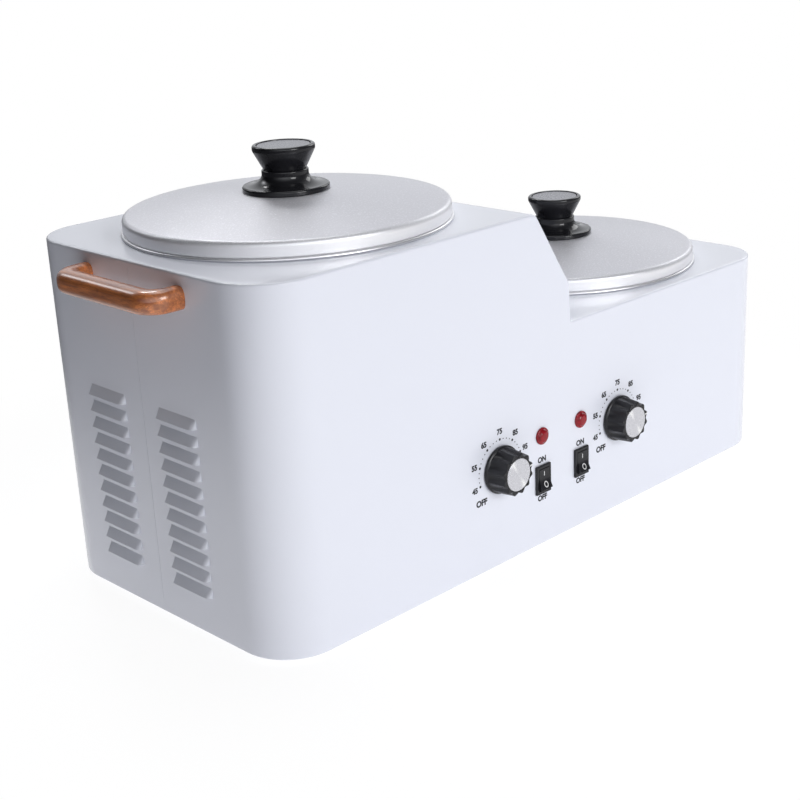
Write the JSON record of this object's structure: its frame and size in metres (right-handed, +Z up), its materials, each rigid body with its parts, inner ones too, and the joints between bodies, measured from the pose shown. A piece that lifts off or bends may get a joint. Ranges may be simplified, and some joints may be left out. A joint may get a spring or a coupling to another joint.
{
  "type": "wax warmer",
  "caption": "Free-standing wax warmer: stepped painted case with lift-out lidded pots, wooden handles, side louvres and front dials, lamps and rocker switches",
  "frame": {"origin": "on the standing plane under the middle of the whole, handles, knobs and inlet included", "axes": "+Z up, +X along the length towards the low pot, -Y towards the front with the controls"},
  "size_m": [0.5726, 0.2547, 0.2901],
  "materials": {
    "case_paint": "glossy bluish-white powder coat",
    "lid_aluminium": "satin blasted spun aluminium",
    "pot_aluminium": "satin spun aluminium",
    "black_gloss": "glossy black phenolic",
    "black_plastic": "satin black moulding",
    "wood": "lacquered reddish-brown hardwood",
    "red_lens": "translucent red lens",
    "silver_disc": "bright spun disc",
    "grey_disc": "smooth grey inlay",
    "steel": "zinc-plated steel",
    "brass": "bare brass",
    "rubber": "matt black rubber",
    "heater": "mica heater band in a metal sleeve",
    "insulation": "woven glass-wool wrap",
    "pale_plastic": "pale nylon and ceramic"
  },
  "bodies": {
    "root": {"front_shell": "case_paint", "rear_shell": "case_paint", "top_deck": "case_paint", "base_plate": "steel", "foot_front_left": "rubber", "foot_front_right": "rubber", "foot_rear_left": "rubber", "foot_rear_right": "rubber", "inlet_housing": "black_plastic", "inlet_pin_live": "brass", "inlet_pin_neutral": "brass", "inlet_pin_earth": "brass", "terminal_block": "pale_plastic", "handle_left": "wood", "handle_screw_front_left": "steel", "handle_screw_rear_left": "steel", "well_left": "pot_aluminium", "heater_band_left": "heater", "heater_clamp_screw_left": "steel", "insulation_left": "insulation", "thermostat_body_left": "pale_plastic", "thermostat_nut_left": "steel", "sensor_bulb_left": "brass", "switch_frame_left": "black_plastic", "lamp_lens_left": "red_lens", "lamp_body_left": "black_plastic", "handle_right": "wood", "handle_screw_front_right": "steel", "handle_screw_rear_right": "steel", "well_right": "pot_aluminium", "heater_band_right": "heater", "heater_clamp_screw_right": "steel", "insulation_right": "insulation", "thermostat_body_right": "pale_plastic", "thermostat_nut_right": "steel", "sensor_bulb_right": "brass", "switch_frame_right": "black_plastic", "lamp_lens_right": "red_lens", "lamp_body_right": "black_plastic"},
    "left_pot": {"pot_left": "pot_aluminium"},
    "left_lid": {"lid_left": "lid_aluminium", "lid_knob_base_left": "black_gloss", "lid_knob_grip_left": "black_gloss", "lid_knob_disc_left": "grey_disc", "lid_knob_screw_left": "steel"},
    "left_dial": {"thermostat_shaft_left": "steel", "dial_knob_left": "black_plastic", "dial_cap_left": "silver_disc"},
    "left_rocker": {"switch_rocker_left": "black_plastic"},
    "right_pot": {"pot_right": "pot_aluminium"},
    "right_lid": {"lid_right": "lid_aluminium", "lid_knob_base_right": "black_gloss", "lid_knob_grip_right": "black_gloss", "lid_knob_disc_right": "grey_disc", "lid_knob_screw_right": "steel"},
    "right_dial": {"thermostat_shaft_right": "steel", "dial_knob_right": "black_plastic", "dial_cap_right": "silver_disc"},
    "right_rocker": {"switch_rocker_right": "black_plastic"}
  },
  "joints": [
    {"name": "left_pot_lift", "type": "slide", "parent": "root", "child": "left_pot", "axis": [0, 0, 1], "range_m": [0, 0.165]},
    {"name": "left_lid_lift", "type": "slide", "parent": "left_pot", "child": "left_lid", "axis": [0, 0, 1], "range_m": [0, 0.06]},
    {"name": "left_dial_turn", "type": "hinge", "parent": "root", "child": "left_dial", "pos_m": [-0.0613, -0.1111, 0.0735], "axis": [0, -1, 0], "range_deg": [0, 226]},
    {"name": "left_rocker_tilt", "type": "hinge", "parent": "root", "child": "left_rocker", "pos_m": [-0.019, -0.1111, 0.053], "axis": [1, 0, 0], "range_deg": [0, 24]},
    {"name": "right_pot_lift", "type": "slide", "parent": "root", "child": "right_pot", "axis": [0, 0, 1], "range_m": [0, 0.1]},
    {"name": "right_lid_lift", "type": "slide", "parent": "right_pot", "child": "right_lid", "axis": [0, 0, 1], "range_m": [0, 0.06]},
    {"name": "right_dial_turn", "type": "hinge", "parent": "root", "child": "right_dial", "pos_m": [0.0647, -0.1111, 0.0735], "axis": [0, -1, 0], "range_deg": [0, 226]},
    {"name": "right_rocker_tilt", "type": "hinge", "parent": "root", "child": "right_rocker", "pos_m": [0.0224, -0.1111, 0.053], "axis": [1, 0, 0], "range_deg": [0, 24]}
  ]
}
